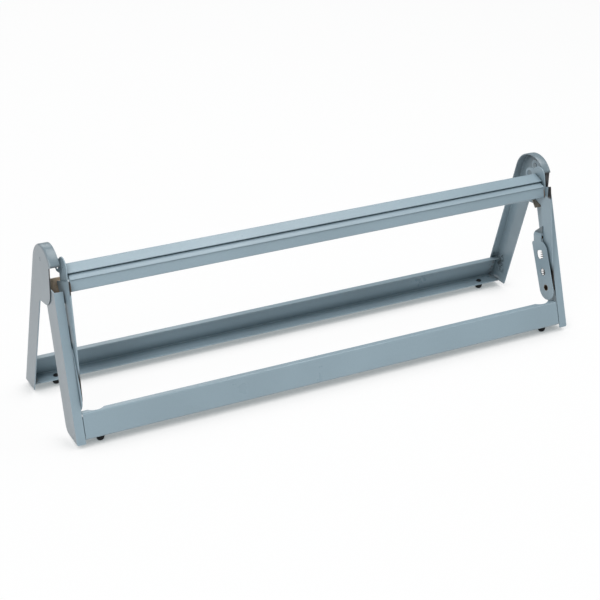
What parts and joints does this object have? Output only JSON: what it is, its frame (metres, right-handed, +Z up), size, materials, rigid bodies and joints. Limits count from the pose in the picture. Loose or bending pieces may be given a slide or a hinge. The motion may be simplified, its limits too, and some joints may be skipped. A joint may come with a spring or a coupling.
{
  "type": "gift wrap paper cutter",
  "caption": "Counter-top dispenser and cutter for rolls of gift wrap: sheet-metal frame with a sprung swing-forward tear bar across its top.",
  "frame": {"origin": "on the counter top, under the middle of the frame; the head's rounded end plates are centred on X-Z", "axes": "+X along the roll to the customer's right, -Y to the customer's side (the tear bar's side), +Z up"},
  "size_m": [0.82, 0.2105, 0.2599],
  "materials": {
    "paint": "satin blue-grey enamel",
    "bare_steel": "dull",
    "spring_steel": "drawn wire",
    "rubber": "matt"
  },
  "bodies": {
    "frame": {"front_rail": "paint", "rear_rail": "paint", "left_rear_leg": "paint", "left_front_leg": "paint", "left_head_rivet": "paint", "left_pivot_stud": "bare_steel", "left_pivot_spacer": "bare_steel", "left_frame_spring_post": "bare_steel", "right_rear_leg": "paint", "right_front_leg": "paint", "right_head_rivet": "paint", "right_pivot_stud": "bare_steel", "right_pivot_spacer": "bare_steel", "right_frame_spring_post": "bare_steel", "front_left_foot": "rubber", "front_right_foot": "rubber", "rear_left_foot": "rubber", "rear_right_foot": "rubber"},
    "cutter": {"tear_bar": "paint", "cutter_blade": "paint", "blade_cover": "paint", "left_cutter_arm": "paint", "left_arm_stay": "paint", "left_bar_bracket": "paint", "left_arm_spacer": "bare_steel", "right_cutter_arm": "paint", "right_arm_stay": "paint", "right_bar_bracket": "paint", "right_arm_spacer": "bare_steel"},
    "left_spring": {"left_spring": "spring_steel"},
    "left_spring_pin": {"left_arm_spring_post": "bare_steel"},
    "right_spring": {"right_spring": "spring_steel"},
    "right_spring_pin": {"right_arm_spring_post": "bare_steel"}
  },
  "joints": [
    {"name": "cutter_swing", "type": "hinge", "parent": "frame", "child": "cutter", "pos_m": [0, -0.076, 0.064], "axis": [1, 0, 0], "range_deg": [0, 45], "stiffness_Nm_per_rad": 1.8, "springref_deg": -15.47},
    {"name": "left_spring_swing", "type": "hinge", "parent": "frame", "child": "left_spring", "pos_m": [-0.38925, -0.05451, 0.064], "axis": [1, 0, 0], "range_deg": [0, 41.76]},
    {"name": "left_spring_stretch", "type": "slide", "parent": "left_spring", "child": "left_spring_pin", "axis": [0, 0.0724, 0.9974], "range_m": [0, 0.01582], "deforming": ["left_spring"]},
    {"name": "right_spring_swing", "type": "hinge", "parent": "frame", "child": "right_spring", "pos_m": [0.39195, -0.06001, 0.064], "axis": [1, 0, 0], "range_deg": [0, 43.08]},
    {"name": "right_spring_stretch", "type": "slide", "parent": "right_spring", "child": "right_spring_pin", "axis": [0, 0.145, 0.9894], "range_m": [0, 0.01198], "deforming": ["right_spring"]}
  ],
  "couplings": [
    {"joint": "left_spring_swing", "follows": "cutter_swing", "ratio": 0.9269},
    {"joint": "left_spring_stretch", "follows": "cutter_swing", "m_per_rad": 0.020076},
    {"joint": "right_spring_swing", "follows": "cutter_swing", "ratio": 0.9562},
    {"joint": "right_spring_stretch", "follows": "cutter_swing", "m_per_rad": 0.015184}
  ]
}
